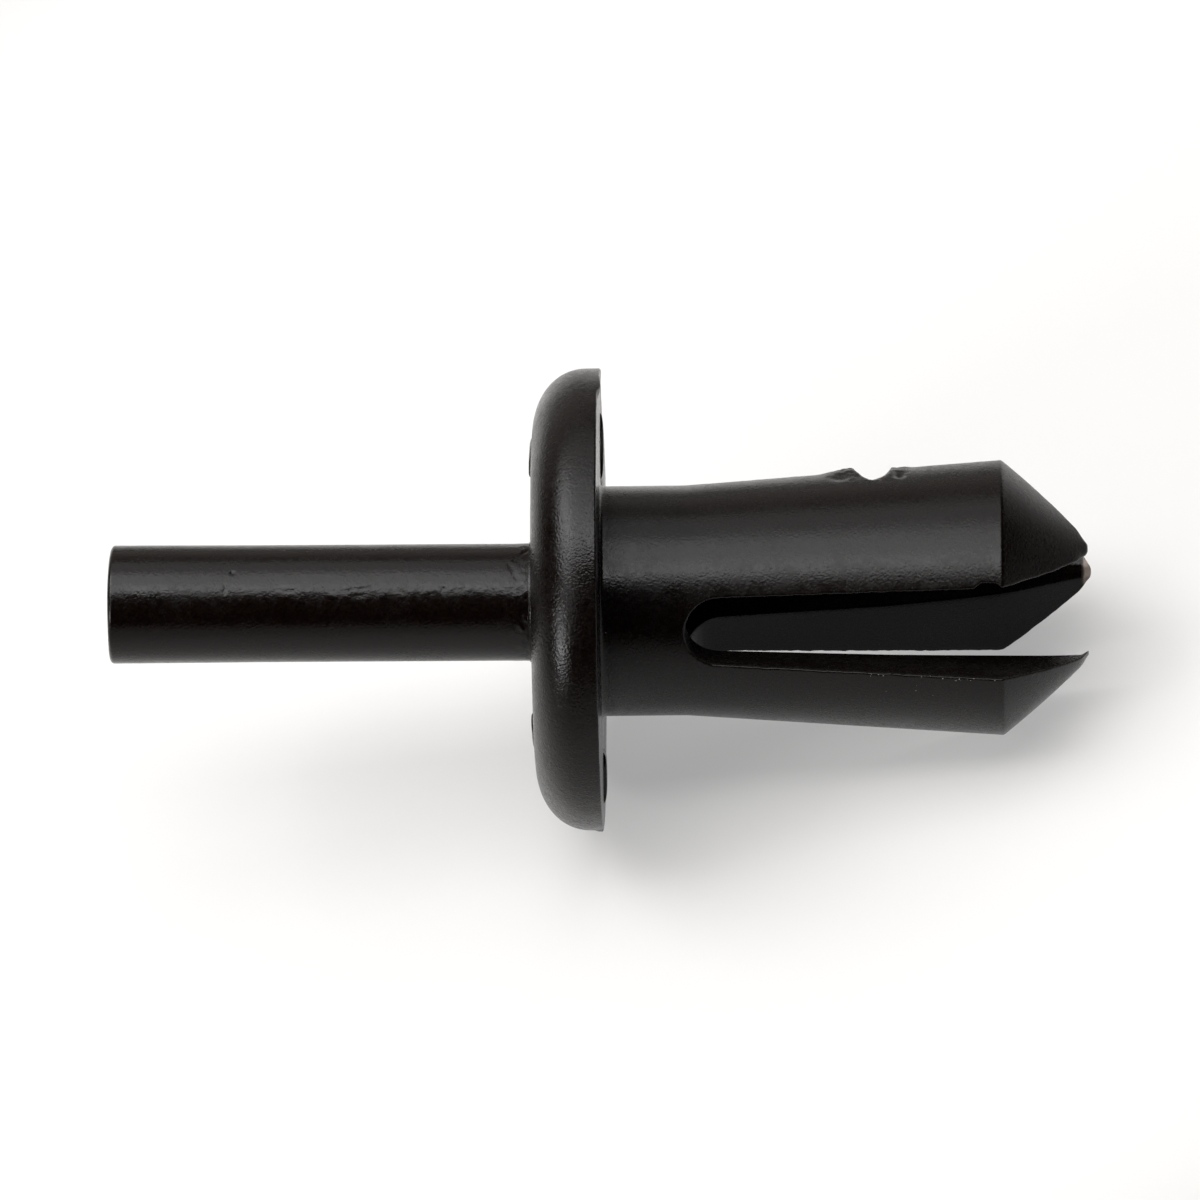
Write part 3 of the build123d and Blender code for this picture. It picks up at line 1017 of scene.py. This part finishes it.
# name, degrees up and right of the view, half angles across and up as the rivet sees it, radiance, shape
SOFTBOXES = [
    ("overhead_front", (29, -15), (25, 6.5), 7.8, "RECTANGLE"),
    ("overhead_middle", (49, -16), (26, 14), 4.8, "RECTANGLE"),
    ("overhead_back", (77, -12), (27, 14), 1.7, "RECTANGLE"),
    ("left_high", (50, -46), (13, 24), 7.0, "ELLIPSE"),
    ("left_middle", (4, -39), (19, 14), 1.5, "ELLIPSE"),
    ("left_low", (-33, -57), (10.5, 10), 16.0, "ELLIPSE"),
]
WARM_WHITE = (1.0, 0.93, 0.88)
BACKDROP_COSINES = (0.5, 0.95)  # of the angle from straight behind the rivet, from dim to bright
BACKDROP_STRENGTHS = (0.01, 0.6)


def toward(degrees_up, degrees_right):
    """Direction turned up from the view direction, back over the rivet, and then to the right."""
    up, right = math.radians(degrees_up), math.radians(degrees_right)
    over = VIEW_BACK * math.cos(up) + VIEW_UP * math.sin(up)
    return over * math.cos(right) + VIEW_RIGHT * math.sin(right)


def make_lights():
    """A long overhead softbox, brightest at its front edge, and a curved bank of light at the pin's end."""
    for name, place, half_angles, radiance, shape in SOFTBOXES:
        back = toward(*place)
        across = (VIEW_RIGHT - back * VIEW_RIGHT.dot(back)).normalized()
        width, height = (2 * LIGHT_DISTANCE * math.tan(math.radians(a)) for a in half_angles)
        area = width * height if shape == "RECTANGLE" else math.pi * width * height / 4
        data = bpy.data.lights.new(name, "AREA")
        data.shape = shape
        data.size = width
        data.size_y = height
        data.energy = radiance * math.pi * area
        aim(new_object(name, data), across, back.cross(across), back, back * LIGHT_DISTANCE)


def make_world():
    """Dim surroundings on the camera's side and a pale, warm wall of light behind the rivet."""
    world = bpy.data.worlds.new("studio")
    bpy.context.scene.world = world
    world.use_nodes = True
    tree = world.node_tree
    place = new_node(tree, "ShaderNodeTexCoord", {}).outputs["Generated"]
    behind = -Vector((VIEW_BACK.x, VIEW_BACK.y, 0)).normalized()
    cosine = measured(tree, "DOT_PRODUCT", place, behind)
    strength = mapped(tree, cosine, BACKDROP_COSINES, BACKDROP_STRENGTHS, interpolation_type="SMOOTHSTEP")
    background = tree.nodes["Background"]
    background.inputs["Color"].default_value = (*WARM_WHITE, 1)
    tree.links.new(strength, background.inputs["Strength"])


FLOOR_COLOUR = (0.33, 0.323, 0.316)
FLOOR_SEGMENTS = 96
FLOOR_RINGS = (0.02, 0.1, 0.6)  # radii of its flat part
FLOOR_RADIUS = 0.85
FLOOR_RIM_HEIGHT = 0.08
FLOOR_RIM_STEPS = 12
GLOW = 0.36
GLOW_CENTRE = Vector((0, 0.0085, FLOOR_Z))
GLOW_FULL = 0.0265  # from the centre to where the floor's white begins to fade
GLOW_END = 0.042


def floor_mesh():
    """A round floor whose far rim curves up, so that low views still end on it."""
    profile = [(r, 0) for r in FLOOR_RINGS]
    flat = FLOOR_RINGS[-1]
    for a in after(0, math.pi / 2, FLOOR_RIM_STEPS):
        profile.append((flat + (FLOOR_RADIUS - flat) * math.sin(a), FLOOR_RIM_HEIGHT * (1 - math.cos(a))))
    turns = np.linspace(0, 2 * math.pi, FLOOR_SEGMENTS, endpoint=False)
    points = [(0, 0, FLOOR_Z)]
    for r, z in profile:
        points += [(r * math.cos(a), r * math.sin(a), FLOOR_Z + z) for a in turns]
    n = FLOOR_SEGMENTS
    faces = [(0, 1 + i, 1 + (i + 1) % n) for i in range(n)]
    for ring in range(len(profile) - 1):
        a = 1 + ring * n
        faces += [(a + i, a + n + i, a + n + (i + 1) % n, a + (i + 1) % n) for i in range(n)]
    mesh = bpy.data.meshes.new("floor")
    mesh.from_pydata(points, [], faces)
    mesh.shade_smooth()
    return mesh


def floor_material():
    """Pale, dull grey that glows softly round the rivet where it is seen, so that it shows white there."""
    material = bpy.data.materials.new("pale_floor")
    material.use_nodes = True
    tree = material.node_tree
    path = new_node(tree, "ShaderNodeLightPath", {})
    seen = combined(tree, "MAXIMUM", path.outputs["Is Camera Ray"], path.outputs["Is Glossy Ray"])
    seen = combined(tree, "MAXIMUM", seen, path.outputs["Is Transmission Ray"])
    place = new_node(tree, "ShaderNodeTexCoord", {}).outputs["Object"]
    away = measured(tree, "DISTANCE", place, GLOW_CENTRE)
    fade = mapped(tree, away, (GLOW_FULL, GLOW_END), (GLOW, 0.0), interpolation_type="SMOOTHSTEP")
    shader = tree.nodes["Principled BSDF"]
    shader.inputs["Base Color"].default_value = (*FLOOR_COLOUR, 1)
    shader.inputs["Roughness"].default_value = 1.0
    shader.inputs["Specular IOR Level"].default_value = 0.0
    shader.inputs["Emission Color"].default_value = (1, 1, 1, 1)
    tree.links.new(combined(tree, "MULTIPLY", seen, fade), shader.inputs["Emission Strength"])
    return material


def make_floor():
    """A pale floor that shows white round the rivet."""
    mesh = floor_mesh()
    mesh.materials.append(floor_material())
    floor = new_object("floor", mesh)


# ---------------------------------------------------------------- scene
bpy.context.scene.view_settings.view_transform = "Standard"
make_camera()
make_world()
make_lights()
make_floor()

body_plastic = satin_plastic(
    "body_plastic", base=(0.0012, 0.0006, 0.0004), specular=0.18, roughness=0.26, grain_depth=0.0065
)
pin_plastic = satin_plastic(
    "pin_plastic", base=(0.0012, 0.0005, 0.0003), specular=0.20, roughness=0.23, grain_depth=0.0035
)
body = make_body(body_plastic)
pin = make_pin(pin_plastic)
for trim in (make_collar(body_plastic), make_marks(body_plastic), make_crumbs(body_plastic)):
    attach(trim, "rivet")
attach(body, "rivet")
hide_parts("rivet_body")
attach(pin, "pin")
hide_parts("drive_pin")
